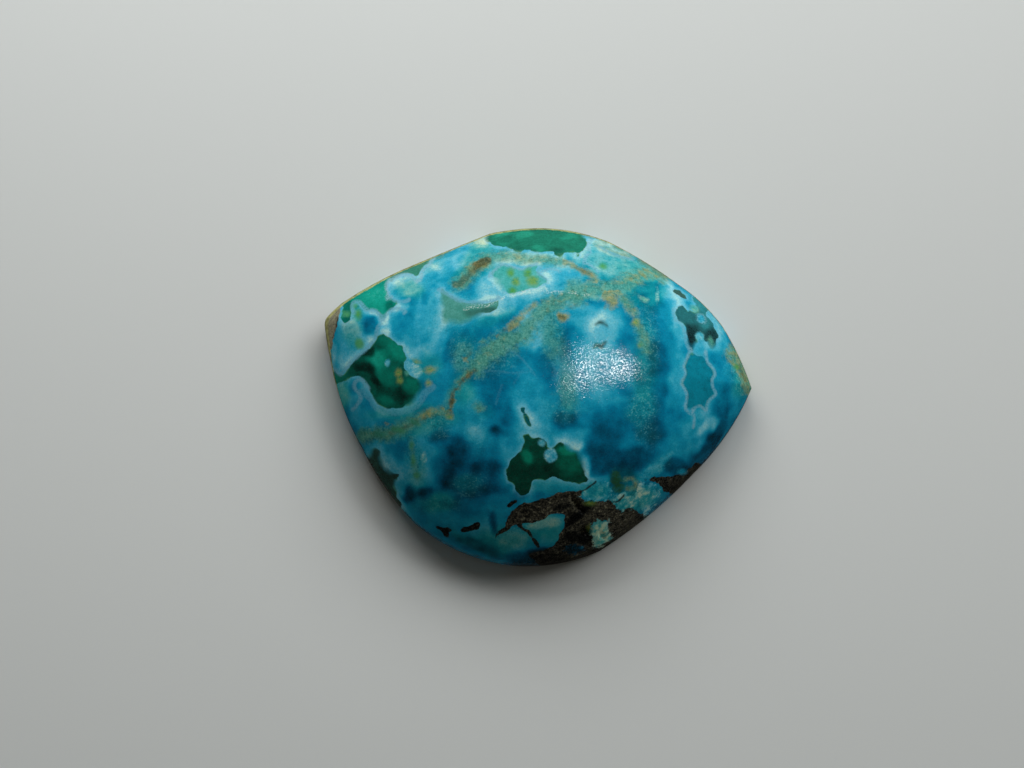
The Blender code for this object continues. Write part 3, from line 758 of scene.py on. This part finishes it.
def draw(stone, points, depth_below_dome):
    """Works out every attribute that the stone's material reads."""
    places = photo_places(points)
    drift = (DRIFT_BELOW_DOME * depth_below_dome)[:, None]
    places = places + wander(points, DRIFT_SIZE, 1)[:, :2] * drift
    organic = places
    for by, size, seed in WANDERS:
        organic = organic + by * wander(points, size, seed)[:, :2]

    patches = Field(places, 3)
    for tone, blue, grey, corners in PATCHES.values():
        patches.add_patch(corners, tone, blue, grey)
    patches.looks[:, 0] = washed(organic, patches.looks[:, 0], PATCH_WASHES)

    rock = Field(places, 1)
    for light, corners in ROCKS.values():
        rock.add_patch(corners, light)
    rock.looks[:, 0] = washed(organic, rock.looks[:, 0], ROCK_WASHES)
    blobs = Field(places, 3)
    for tone, yellow, corners in INCLUSIONS.values():
        blobs.add_patch(corners, tone, yellow, 1)
    rock.depth = np.minimum(rock.depth, -blobs.depth)

    veins = Field(places, 3)
    for half_width, warmth, strength, corners in VEINS:
        veins.add_line(half_width, corners, warmth, strength, half_width / WIDE_VEIN)
    for tone, yellow, across, down, turn, centre in BLOBS:
        blobs.add_blob(across, down, turn, centre, tone, yellow, 0)
    brown = Field(places, 1)
    for half_width, strength, corners in BROWN_LINES:
        brown.add_line(half_width, corners, strength)
    pale = Field(places, 2)
    for half_width, strength, white, corners in PALE_BANDS_AND_GLINTS:
        pale.add_line(half_width, corners, strength, white)
    cracks = Field(places, 0)
    for half_width, corners in CRACKS:
        cracks.add_line(half_width, corners)

    drawing = {
        "tone": washed(organic, GROUND_TONE, TONE_WASHES),
        "green": washed(organic, GROUND_GREEN, GREEN_WASHES),
        "grain": washed(organic, 0, GRAIN_WASHES),
        "halo": washed(organic, GROUND_HALO, HALO_WASHES),
        "crack": cracks.depth,
        "skin": skin_depth(points),
        "bare": BARE_GIRDLE * np.clip(5 * (GIRDLE_TOP + 0.1 - points[:, 2]), 0, 1),
        "soft": washed(places, 0, SOFT_WASHES),
        **fields("patch", patches, "tone", "blue", "grey"),
        **fields("rock", rock, "light"),
        **fields("vein", veins, "warmth", "strength", "width"),
        **fields("brown", brown, "strength"),
        **fields("blob", blobs, "tone", "yellow", "jagged"),
        **fields("pale", pale, "strength", "white"),
    }
    for name, values in drawing.items():
        attribute = stone.data.attributes.new(name, "FLOAT", "POINT")
        attribute.data.foreach_set("value", values.astype(np.float32))
    return rock.depth


def skin_depth(points):
    """How deep in the strip of skin each point is: 1 along its middle, and 0 at its edges."""
    far = np.maximum(points[:, 1], 0)
    above_middle = points[:, 2] - SKIN_HEIGHT - SKIN_RISE * far
    skin = 1 - np.abs(above_middle) / (SKIN_HALF_HEIGHT + SKIN_GROWTH * far)
    return skin - np.clip(-points[:, 1] / SKIN_END, 0, 2)


def fields(name, field, *looks):
    """A field's depth and looks, each under its own name."""
    values = {f"{name}_{look}": field.looks[:, k] for k, look in enumerate(looks)}
    return {name: field.depth, **values}


# ---------------------------------------------------------------- the stone's material

# The stone's colours, as linear red, green and blue, from dark to pale.
BLUES = (
    (0, (0.001, 0.016, 0.026)),
    (0.1, (0.001, 0.04, 0.072)),
    (0.22, (0.001, 0.082, 0.16)),
    (0.36, (0.001, 0.155, 0.29)),
    (0.5, (0.002, 0.245, 0.42)),
    (0.64, (0.008, 0.35, 0.54)),
    (0.76, (0.04, 0.45, 0.64)),
    (0.88, (0.14, 0.58, 0.74)),
    (1, (0.4, 0.8, 0.83)),
)
GREENS = (
    (0, (0.003, 0.018, 0.012)),
    (0.2, (0.003, 0.062, 0.038)),
    (0.4, (0.003, 0.15, 0.092)),
    (0.6, (0.004, 0.27, 0.165)),
    (0.8, (0.01, 0.4, 0.25)),
    (1, (0.12, 0.6, 0.43)),
)
GREEN_LEAN = (1.6, 1.02, 0.7)
BLUE_LEAN = (1, 1, 2.3)
GREY_STONE = (0.13, 0.3, 0.27)
PATCH_OUTLINE = (0.17, 0.56, 0.73)
PATCH_LIP = (0.07, 0.3, 0.11)
PALE_BAND = (0.15, 0.45, 0.58)
LIME = (0.08, 0.36, 0.05)
YELLOW = (0.4, 0.42, 0.1)
# The white of the painted glints, a painted highlight.
GLINT = (0.74, 0.86, 0.82)
GRAIN_HAZE = (0.02, 0.26, 0.25)
PALE_GRAINS = (0.15, 0.5, 0.48)
DEEP_GRAINS = (0.003, 0.08, 0.1)
SKIN_OCHRE = (0.52, 0.52, 0.21)
SKIN_BROWN = (0.23, 0.23, 0.08)
COOL_VEIN = (
    (0, (0.009, 0.085, 0.075)),
    (0.3, (0.03, 0.2, 0.155)),
    (0.5, (0.08, 0.34, 0.265)),
    (0.7, (0.15, 0.46, 0.35)),
    (1, (0.31, 0.64, 0.47)),
)
WARM_VEIN = (
    (0, (0.03, 0.06, 0.03)),
    (0.3, (0.13, 0.19, 0.07)),
    (0.5, (0.31, 0.35, 0.13)),
    (0.7, (0.52, 0.4, 0.14)),
    (1, (0.64, 0.52, 0.24)),
)
BROWN_VEIN = (
    (0, (0.006, 0.012, 0.006)),
    (0.5, (0.075, 0.07, 0.026)),
    (0.75, (0.26, 0.19, 0.07)),
    (1, (0.42, 0.36, 0.16)),
)
ROCK_TONES = (
    (0, (0.003, 0.004, 0.004)),
    (0.25, (0.012, 0.013, 0.011)),
    (0.5, (0.046, 0.044, 0.032)),
    (0.75, (0.105, 0.1, 0.068)),
    (1, (0.34, 0.33, 0.22)),
)
CRACK_COLOUR = (0.012, 0.016, 0.014)

STONE_IOR = 1.5
POLISH_ROUGHNESS = 0.055
GRIT_SIZE = 0.143
GRIT_DEPTH = 0.02


class Shader:
    """Adds nodes to a material's node tree, and returns their outputs."""

    def __init__(self, material):
        self.tree = material.node_tree
        self.surface = self.tree.nodes["Principled BSDF"]

    def add(self, kind, *inputs, **settings):
        node = self.tree.nodes.new(kind)
        for name, value in settings.items():
            setattr(node, name, value)
        for socket, value in zip(node.inputs, inputs):
            self.put(value, socket)
        return node

    def put(self, value, socket):
        if isinstance(value, bpy.types.NodeSocket):
            self.tree.links.new(value, socket)
        elif value is not None:
            socket.default_value = value

    def sum(self, operation, *inputs, clamp=False):
        return self.add("ShaderNodeMath", *inputs, operation=operation, use_clamp=clamp).outputs[0]

    def plus(self, a, b):
        return self.sum("ADD", a, b)

    def times(self, a, b):
        return self.sum("MULTIPLY", a, b)

    def total(self, *weighted):
        """The sum of these values, each times its weight."""
        total = None
        for value, weight in weighted:
            term = value if weight == 1 else self.times(value, weight)
            total = term if total is None else self.plus(total, term)
        return total

    def named(self, kind, output, values, **settings):
        """Adds a node whose inputs are set by name, and returns this output."""
        node = self.add(kind, **settings)
        for name, value in values.items():
            self.put(value, node.inputs[name])
        return node.outputs[output]

    def step(self, value, low, high):
        """0 below low, 1 above high, and a smooth rise between."""
        values = {"Value": value, "From Min": low, "From Max": high}
        return self.named("ShaderNodeMapRange", "Result", values, interpolation_type="SMOOTHSTEP")

    def mix(self, factor, a, b, blend="MIX"):
        node = self.add("ShaderNodeMix", data_type="RGBA", blend_type=blend, clamp_factor=True)
        for k, value in ((0, factor), (6, a), (7, b)):
            self.put((*value, 1) if isinstance(value, tuple) else value, node.inputs[k])
        return node.outputs[2]

    def tint(self, colour, lean):
        return self.mix(1, colour, lean, "MULTIPLY")

    def ramp(self, factor, stops):
        node = self.add("ShaderNodeValToRGB", factor)
        elements = node.color_ramp.elements
        while len(elements) < len(stops):
            elements.new(0.5)
        for element, (position, colour) in zip(elements, stops):
            element.position = position
            element.color = (*colour, 1)
        return node.outputs[0]

    def read(self, name):
        """The number that each vertex holds under this name."""
        return self.add("ShaderNodeAttribute", attribute_name=name).outputs["Fac"]

    def vector(self, operation, *inputs):
        return self.add("ShaderNodeVectorMath", *inputs, operation=operation).outputs[0]

    def place(self):
        """Where the point is on the stone, in mm."""
        return self.vector("MULTIPLY", self.add("ShaderNodeTexCoord").outputs["Object"], (1 / MM,) * 3)

    def moved(self, place, x, y, z):
        return self.vector("ADD", place, (x, y, z))

    def noise(self, place, grain, detail=2, roughness=0.5):
        """A random value about 0, from about -0.5 to 0.5, that changes over this many mm."""
        values = {"Vector": place, "Scale": 1 / grain, "Detail": detail, "Roughness": roughness}
        return self.plus(self.named("ShaderNodeTexNoise", "Fac", values), -0.5)

    def warped(self, place, grain, amount):
        """The place, pushed about at random by up to this amount."""
        values = {"Vector": place, "Scale": 1 / grain, "Detail": 3}
        push = self.named("ShaderNodeTexNoise", "Color", values)
        centred = self.vector("ADD", push, (-0.5,) * 3)
        return self.vector("MULTIPLY_ADD", centred, (2 * amount,) * 3, place)

    def lobes(self, place, size):
        """Rounded cells of about this many mm: 0 at the middle of each, rising to its edges."""
        values = {"Vector": place, "Scale": 1 / size, "Smoothness": 0.25}
        return self.named("ShaderNodeTexVoronoi", "Distance", values, feature="SMOOTH_F1")


class StoneShader(Shader):
    """A shader with the random values that the stone's kinds of colour share."""

    def __init__(self, material):
        super().__init__(material)
        place = self.here = self.place()
        self.cloud = self.noise(place, 1.5, 4, 0.62)
        self.mottle = self.noise(self.moved(place, 31, 5, 9), 0.5, 3, 0.6)
        self.speckle = self.noise(self.moved(place, 7, 50, 2), 0.16, 2, 0.6)
        self.grains = self.noise(self.moved(place, 13, 29, 61), 0.26, 3, 0.75)
        bend = self.noise(self.moved(place, 3, 11, 77), 0.9, 3, 0.6)
        lumps = self.plus(self.lobes(self.moved(place, 8, 3, 1), 0.62), -0.42)
        self.wobble = self.total((bend, 0.24), (lumps, 0.20), (self.speckle, 0.12))


def ground_colour(s, patch_edge):
    """The blue ground: rounded cells, a pale halo round the patches, and grainy areas."""
    cells = s.plus(s.lobes(s.warped(s.here, 0.9, 0.35), 1.25), -0.42)
    stir = s.total((s.cloud, 0.20), (cells, 0.20), (s.mottle, 0.18), (s.speckle, 0.16))
    lift = s.total((s.step(patch_edge, -1.6, -0.1), 0.14), (s.step(patch_edge, -0.8, -0.1), 0.12))
    blue = s.ramp(s.total((s.read("tone"), 1), (stir, 1), (s.times(lift, s.read("halo")), 1)), BLUES)
    green_share = s.sum("ADD", s.read("green"), s.times(s.cloud, 0.5), clamp=True)
    colour = s.mix(green_share, blue, s.tint(blue, GREEN_LEAN))
    grain = s.read("grain")
    texture = s.total((s.mottle, 1.1), (s.speckle, 1.1), (s.grains, 0.9))
    colour = s.mix(s.times(grain, 0.30), colour, GRAIN_HAZE)
    colour = s.mix(s.times(s.times(s.step(texture, -0.04, -0.34), grain), 0.60), colour, DEEP_GRAINS)
    return s.mix(s.times(s.times(s.step(texture, 0.04, 0.36), grain), 0.65), colour, PALE_GRAINS)


def add_patches(s, colour, patch_edge):
    """Green patches, each with a lip of lime and a pale outline that fades outwards."""
    soft = s.read("soft")
    within = s.step(patch_edge, s.total((soft, -0.55), (-0.03, 1)), s.total((soft, 0.55), (0.05, 1)))
    crisp = s.total((soft, -1), (1.0, 1))
    outline = s.times(s.sum("SUBTRACT", s.step(patch_edge, -0.40, 0.0), within), crisp)
    uneven = s.step(s.noise(s.moved(s.here, 2, 8, 41), 1.1, 3), -0.12, 0.12)
    strength = s.times(s.total((uneven, 0.50), (outline, 0.45)), s.read("halo"))
    tone = s.total((s.read("patch_tone"), 1), (s.cloud, 0.22), (s.mottle, 0.26), (s.speckle, 0.16))
    glass = s.ramp(tone, GREENS)
    glass = s.mix(s.read("patch_blue"), glass, s.tint(glass, BLUE_LEAN))
    glass = s.mix(s.times(s.read("patch_grey"), 0.75), glass, s.mix(tone, CRACK_COLOUR, GREY_STONE))
    lip = s.sum("SUBTRACT", s.step(patch_edge, -0.08, 0.0), s.step(patch_edge, 0.04, 0.14))
    colour = s.mix(s.times(outline, strength), colour, PATCH_OUTLINE)
    colour = s.mix(within, colour, glass)
    return s.mix(s.times(s.times(lip, s.step(s.cloud, -0.05, 0.15)), s.times(crisp, 0.6)), colour, PATCH_LIP)


def add_veins(s, colour):
    """Grainy veins, olive and green where they are cool, tan and ochre where they are warm."""
    width = s.read("vein_width")
    tatters = s.noise(s.moved(s.here, 44, 3, 21), 0.75, 3, 0.65)
    ragged = s.times(s.total((tatters, 2.4), (s.wobble, 1.8)), width)
    edge = s.total((s.read("vein"), 1), (s.wobble, 0.5), (ragged, 1))
    soft = s.step(edge, s.total((width, -0.75), (-0.1, 1)), s.total((width, 0.35), (0.16, 1)))
    patchwork = s.total((s.grains, 0.55), (s.speckle, 0.55), (s.mottle, 0.55), (0.5, 1))
    warm_spots = s.noise(s.moved(s.here, 1, 2, 99), 0.6, 3, 0.6)
    warmth = s.step(s.total((s.read("vein_warmth"), 1), (warm_spots, 1.1)), 0.16, 0.70)
    vein = s.mix(warmth, s.ramp(patchwork, COOL_VEIN), s.ramp(patchwork, WARM_VEIN))
    colour = s.mix(s.times(soft, s.read("vein_strength")), colour, vein)
    brown = s.step(s.total((s.read("brown"), 1), (s.wobble, 1.8), (s.mottle, 0.4)), -0.16, 0.24)
    return s.mix(s.times(brown, s.read("brown_strength")), colour, s.ramp(patchwork, BROWN_VEIN))


def add_rock(s, colour, cover):
    """Host rock: black to tan, in coarse and fine grains; the black over the open pits is painted shade."""
    coarse = s.noise(s.moved(s.here, 99, 9, 4), 0.50, 3, 0.7)
    fine = s.noise(s.moved(s.here, 9, 99, 1), 0.20, 2, 0.7)
    light = s.read("rock_light")
    stir = s.total((coarse, 1.3), (fine, 1.9))
    amount = s.total((s.step(light, 0.0, 0.30), 1), (s.step(light, 0.50, 0.85), -0.72))
    tone = s.total((light, 1), (s.times(stir, amount), 1))
    return s.mix(cover, colour, s.ramp(tone, ROCK_TONES))


def add_pale_bands_and_glints(s, colour):
    """Thin pale bands, and painted glints: where they are white they break up into bright grains, a painted
    highlight.
    """
    white = s.read("pale_white")
    band = s.step(s.total((s.read("pale"), 1), (s.wobble, 0.4)), -0.14, 0.1)
    # The glints' bright grains: painted highlight.
    sparkle = s.step(s.total((s.speckle, 1), (white, -0.18)), -0.22, 0)
    cover = s.times(s.times(band, sparkle), s.read("pale_strength"))
    return s.mix(cover, colour, s.mix(white, PALE_BAND, GLINT))


def add_blobs(s, colour):
    """Bright grains and blobs, blue or yellow-green, and jagged bits of stone in the rock."""
    jagged = s.read("blob_jagged")
    shards = s.times(s.total((s.mottle, 0.3), (s.cloud, 1), (s.speckle, -0.15)), jagged)
    stir = ((s.mottle, 0.55), (s.speckle, 0.35), (s.cloud, 0.25), (shards, 1))
    edge = s.total((s.read("blob"), 1), (s.wobble, 0.8), (s.times(s.mottle, jagged), 1.8))
    blue = s.ramp(s.total((s.read("blob_tone"), 1), *stir), BLUES)
    blue = s.mix(s.read("green"), blue, s.tint(blue, GREEN_LEAN))
    lean = s.read("blob_yellow")
    lime = s.mix(s.step(s.grains, 0, 0.14), LIME, PATCH_LIP)
    blob = s.mix(s.step(lean, 0, 0.55), blue, lime)
    blob = s.mix(s.times(s.step(lean, 0.5, 1), s.step(s.grains, 0.12, -0.02)), blob, YELLOW)
    cover = s.step(edge, s.total((lean, -0.22), (-0.14, 1)), s.total((lean, 0.22), (0.14, 1)))
    return s.mix(s.times(cover, 0.88), colour, blob)


def add_cracks(s, colour):
    crack = s.step(s.total((s.read("crack"), 1), (s.wobble, 0.5)), -0.05, 0.05)
    return s.mix(s.times(crack, 0.9), colour, CRACK_COLOUR)


def add_skin(s, colour, skin):
    """The rough ochre and brown skin along the girdle."""
    ochre_share = s.step(s.total((s.mottle, 1), (s.cloud, -0.6)), -0.16, 0.1)
    return s.mix(s.times(skin, 0.85), colour, s.mix(ochre_share, SKIN_BROWN, SKIN_OCHRE))


def add_polish(s, rock_cover, skin):
    """A high polish with a fine grit, and matt rock, skin and girdle."""
    roughness = s.total((rock_cover, 0.35), (s.speckle, 0.04), (POLISH_ROUGHNESS, 1))
    s.put(roughness, s.surface.inputs["Roughness"])
    s.surface.inputs["IOR"].default_value = STONE_IOR
    grit = s.noise(s.moved(s.here, 17, 4, 23), GRIT_SIZE, 1)
    matt = s.sum("MAXIMUM", s.times(skin, 0.95), s.read("bare"))
    matt = s.sum("MAXIMUM", s.times(rock_cover, 0.75), matt)
    shine = s.total((s.step(grit, -0.02, 0.12), 1.25), (0.08, 1))
    polish = s.times(shine, s.total((matt, -1), (1, 1)))
    s.put(polish, s.surface.inputs["Specular IOR Level"])
    values = {"Strength": 0.5, "Distance": GRIT_DEPTH * MM, "Height": grit}
    s.put(s.named("ShaderNodeBump", "Normal", values), s.surface.inputs["Normal"])


def stone_material():
    material = bpy.data.materials.new("polished_chrysocolla")
    material.use_nodes = True
    s = StoneShader(material)
    patch_edge = s.plus(s.read("patch"), s.wobble)
    rock_cover = s.step(s.total((s.read("rock"), 1), (s.wobble, 1.2)), -0.03, 0.05)
    skin = s.total((s.read("skin"), 1), (s.cloud, 1), (s.mottle, 0.8), (s.speckle, 0.5))
    skin = s.step(skin, 0, 0.3)
    colour = ground_colour(s, patch_edge)
    colour = add_patches(s, colour, patch_edge)
    colour = add_veins(s, colour)
    colour = add_rock(s, colour, rock_cover)
    colour = add_pale_bands_and_glints(s, colour)
    colour = add_blobs(s, colour)
    colour = add_cracks(s, colour)
    colour = add_skin(s, colour, skin)
    s.put(colour, s.surface.inputs["Base Color"])
    add_polish(s, rock_cover, skin)
    return material


# ---------------------------------------------------------------- the stone

def sink_pits(points):
    """Presses the open pits into the dome."""
    for (x, y), long, wide, deep, turn in PITS:
        offset = turned(points[:, :2] - (x, y), -turn) / (long, wide)
        share = np.clip(np.linalg.norm(offset, axis=1), 0, 1)
        on_dome = points[:, 2] > GIRDLE_TOP
        points[:, 2] -= np.where(on_dome, deep * np.sqrt(1 - share**2), 0)


def wear_rock(points, rock_depth):
    """Lowers the softer rock a little below the polished dome, unevenly."""
    unevenness = np.array([noise.noise(Vector(p) / WEAR_SIZE) for p in points.tolist()])
    worn = np.clip((rock_depth - 0.1) / 0.3, 0, 1) * (ROCK_WEAR + WEAR_UNEVENNESS * unevenness)
    points[:, 2] -= np.where(points[:, 2] > GIRDLE_TOP + 0.1, np.maximum(0, worn), 0)


def make_stone():
    points, ring_count, spoke_count = stone_points()
    faces = stone_faces(ring_count, spoke_count)
    mesh = bpy.data.meshes.new("stone")
    stone = bpy.data.objects.new("stone", mesh)
    bpy.context.scene.collection.objects.link(stone)
    depth_below_dome = np.maximum(0, GIRDLE_TOP - points[:, 2])
    sink_pits(points)
    on_back = np.arange(len(points)) <= (BACK_RINGS - 1) * spoke_count
    reach = np.linalg.norm(points[:, :2], axis=1) / BACK_RADIUS
    depth_below_dome[on_back] += BACK_DRIFT * (1 - reach[on_back])
    mesh.from_pydata((points * MM).tolist(), [], faces)
    rock_depth = draw(stone, points, depth_below_dome)
    wear_rock(points, rock_depth)
    mesh.vertices.foreach_set("co", (points * MM).ravel())
    mesh.shade_smooth()
    mesh.materials.append(stone_material())
    return stone


# ---------------------------------------------------------------- the stage

PAPER_COLOUR = (0.72, 0.75, 0.735, 1)
FLOOR_SIZE = 6  # metres
FILL_STRENGTH = 0.054
REFLECTED_STRENGTH = 0.018
FILL_COLOUR = (1, 0.96, 0.84, 1)
SURROUND_COLOUR = (0.72, 0.75, 0.74, 1)
SURROUND_STRENGTH = 0.7
PANE_COLOUR = (1, 0.97, 0.9)


def add_floor():
    half = FLOOR_SIZE / 2
    mesh = bpy.data.meshes.new("paper")
    corners = [(-half, -half, 0), (half, -half, 0), (half, half, 0), (-half, half, 0)]
    mesh.from_pydata(corners, [], [(0, 1, 2, 3)])
    material = bpy.data.materials.new("paper")
    material.use_nodes = True
    surface = material.node_tree.nodes["Principled BSDF"]
    surface.inputs["Base Color"].default_value = PAPER_COLOUR
    surface.inputs["Roughness"].default_value = 0.85
    surface.inputs["Specular IOR Level"].default_value = 0.1
    mesh.materials.append(material)
    floor = bpy.data.objects.new("paper", mesh)
    bpy.context.scene.collection.objects.link(floor)
    floor.visible_glossy = False  # so that the polish stays clear and dark


def add_area(name, azimuth, elevation, distance, size, size_y, power, turn=0):
    """A soft light that faces the stone. Azimuth 0 is +X and 90 is +Y; distances are in metres."""
    light = bpy.data.lights.new(name, "AREA")
    light.shape = "RECTANGLE"
    light.size = size
    light.size_y = size_y
    light.energy = power
    lamp = bpy.data.objects.new(name, light)
    a, e = math.radians(azimuth), math.radians(elevation)
    direction = Vector((math.cos(a) * math.cos(e), math.sin(a) * math.cos(e), math.sin(e)))
    aim = Vector((0, 0, 4 * MM))
    facing = direction.to_track_quat("Z", "Y").to_matrix() @ Matrix.Rotation(math.radians(turn), 3, "Z")
    lamp.matrix_world = Matrix.Translation(aim + direction * distance) @ facing.to_4x4()
    lamp.visible_camera = False
    bpy.context.scene.collection.objects.link(lamp)
    return lamp


def add_world():
    """Dim, even fill that the polish reflects less of, and a pale surround for the camera."""
    world = bpy.data.worlds.new("world")
    world.use_nodes = True
    bpy.context.scene.world = world
    nodes, links = world.node_tree.nodes, world.node_tree.links
    fill = nodes["Background"]
    fill.inputs["Color"].default_value = FILL_COLOUR
    seen = nodes.new("ShaderNodeBackground")
    seen.inputs["Color"].default_value = SURROUND_COLOUR
    seen.inputs["Strength"].default_value = SURROUND_STRENGTH
    mix = nodes.new("ShaderNodeMixShader")
    path = nodes.new("ShaderNodeLightPath")
    strength = nodes.new("ShaderNodeMapRange")
    strength.inputs["To Min"].default_value = FILL_STRENGTH
    strength.inputs["To Max"].default_value = REFLECTED_STRENGTH
    links.new(path.outputs["Is Glossy Ray"], strength.inputs["Value"])
    links.new(strength.outputs["Result"], fill.inputs["Strength"])
    links.new(path.outputs["Is Camera Ray"], mix.inputs[0])
    links.new(fill.outputs[0], mix.inputs[1])
    links.new(seen.outputs[0], mix.inputs[2])
    links.new(mix.outputs[0], nodes["World Output"].inputs["Surface"])


def add_lights():
    for lamp in (
        add_area("window", 100, 36, 0.19, 0.16, 0.11, 0.225),
        add_area("far window", 44, 36, 0.6, 0.48, 0.33, 2.05),
    ):
        lamp.visible_glossy = False
    for pane in (
        add_area("shine", 40, 66.5, 0.5, 0.15, 0.085, 0.27, turn=60),
        add_area("left pane", 54, 74.5, 0.5, 0.075, 0.034, 0.055, turn=-58),
        add_area("right pane", 30, 60, 0.5, 0.08, 0.036, 0.09, turn=66),
    ):
        pane.visible_diffuse = False
        pane.data.color = PANE_COLOUR


# ---------------------------------------------------------------- all of it

stone = make_stone()
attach(stone, "root")
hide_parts("cabochon")
add_floor()
add_lights()
add_world()
add_camera()
bpy.context.scene.view_settings.view_transform = "Standard"
